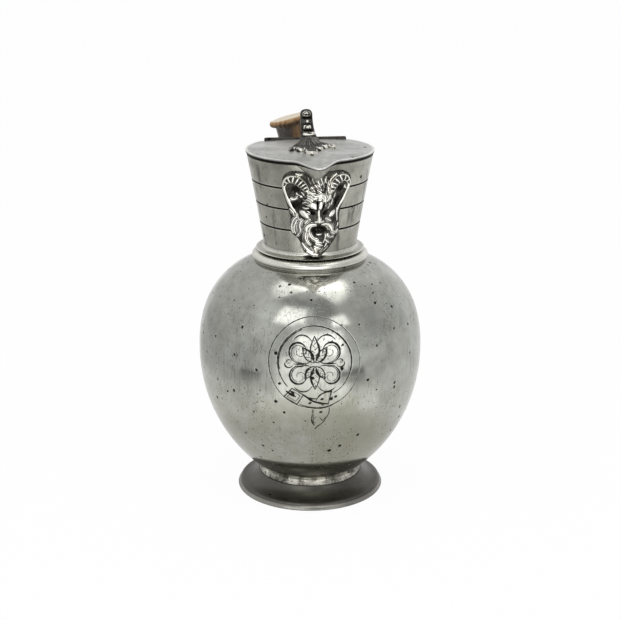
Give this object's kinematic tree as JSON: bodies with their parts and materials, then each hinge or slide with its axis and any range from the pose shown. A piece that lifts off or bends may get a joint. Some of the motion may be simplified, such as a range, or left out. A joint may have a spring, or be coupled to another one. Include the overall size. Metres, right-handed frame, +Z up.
{
  "type": "claret jug",
  "caption": "Pewter claret jug with an oval bowl, spread foot, flaring neck with a satyr mask, pouring lip, hinged lid with a thumbpiece, and an antler handle.",
  "frame": {"origin": "on the bowl's axis, in the plane that the foot stands on", "axes": "+Z up along the bowl's axis, -Y towards the pouring lip and the mask, +Y towards the handle, X along the lid's hinge"},
  "size_m": [0.15, 0.1766, 0.2577],
  "materials": {
    "satin_pewter": "satin",
    "dark_pewter": "satin",
    "blackened_pewter": "satin",
    "antler": "satin"
  },
  "bodies": {
    "jug": {"foot": "dark_pewter", "foot_collar": "satin_pewter", "lower_bowl": "satin_pewter", "upper_bowl": "satin_pewter", "neck_collar": "satin_pewter", "neck": "satin_pewter", "pouring_lip": "satin_pewter", "mask": "blackened_pewter", "rear_plate": "satin_pewter", "fixed_knuckles": "satin_pewter", "hinge_pin": "satin_pewter", "handle_arm": "satin_pewter", "handle_band": "dark_pewter", "band_rivet": "dark_pewter", "antler_grip": "antler", "handle_ferrule": "dark_pewter", "ferrule_rivet": "dark_pewter", "lower_saddle": "satin_pewter"},
    "lid": {"lid_cover": "satin_pewter", "lid_bezel": "satin_pewter", "lid_knuckles": "satin_pewter", "thumbpiece": "blackened_pewter"}
  },
  "joints": [
    {"name": "lid_hinge", "type": "hinge", "parent": "jug", "child": "lid", "pos_m": [0, 0.0305, 0.23616], "axis": [-1, 0, 0], "range_deg": [0, 70]}
  ]
}
